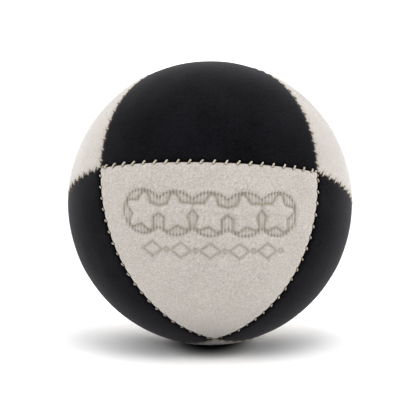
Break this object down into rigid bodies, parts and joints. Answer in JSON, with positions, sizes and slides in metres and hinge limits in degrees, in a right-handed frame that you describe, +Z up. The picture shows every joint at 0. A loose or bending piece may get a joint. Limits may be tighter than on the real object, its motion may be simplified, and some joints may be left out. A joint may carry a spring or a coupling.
{
  "type": "juggling ball",
  "caption": "Stuffed juggling ball of alternating white and black three-cornered suede panels, whip-stitched edge to edge over a cloth liner full of millet.",
  "frame": {"origin": "middle of the small flat that the ball rests on, straight below the ball's centre", "axes": "+Z up; -Y towards the front, where a white panel faces; +X to the right as seen from the front"},
  "size_m": [0.0674, 0.0669, 0.0664],
  "materials": {
    "white_suede": "off-white microfibre suede with a fine brushed grain, matt",
    "black_suede": "black microfibre suede, matt with a soft sheen at grazing angles",
    "seam_thread": "ecru twisted thread, slightly waxy",
    "liner_cotton": "unbleached plain-weave cotton, matt",
    "liner_thread": "fine undyed sewing thread",
    "millet": "small round yellow seeds"
  },
  "bodies": {
    "root": {"back_black_panel": "black_suede", "front_white_panel": "white_suede", "left_black_panel": "black_suede", "liner_lower_half": "liner_cotton", "liner_thread": "liner_thread", "liner_upper_half": "liner_cotton", "lower_back_white_panel": "white_suede", "millet_filling": "millet", "right_black_panel": "black_suede", "thread_back_left_to_bottom": "seam_thread", "thread_back_left_to_left": "seam_thread", "thread_back_right_to_back_left": "seam_thread", "thread_back_right_to_right": "seam_thread", "thread_bottom_to_back_right": "seam_thread", "thread_bottom_to_right": "seam_thread", "thread_left_to_bottom": "seam_thread", "thread_left_to_top": "seam_thread", "thread_right_to_left": "seam_thread", "thread_right_to_top": "seam_thread", "thread_top_to_back_left": "seam_thread", "thread_top_to_back_right": "seam_thread", "top_black_panel": "black_suede", "upper_left_white_panel": "white_suede", "upper_right_white_panel": "white_suede"}
  },
  "joints": []
}
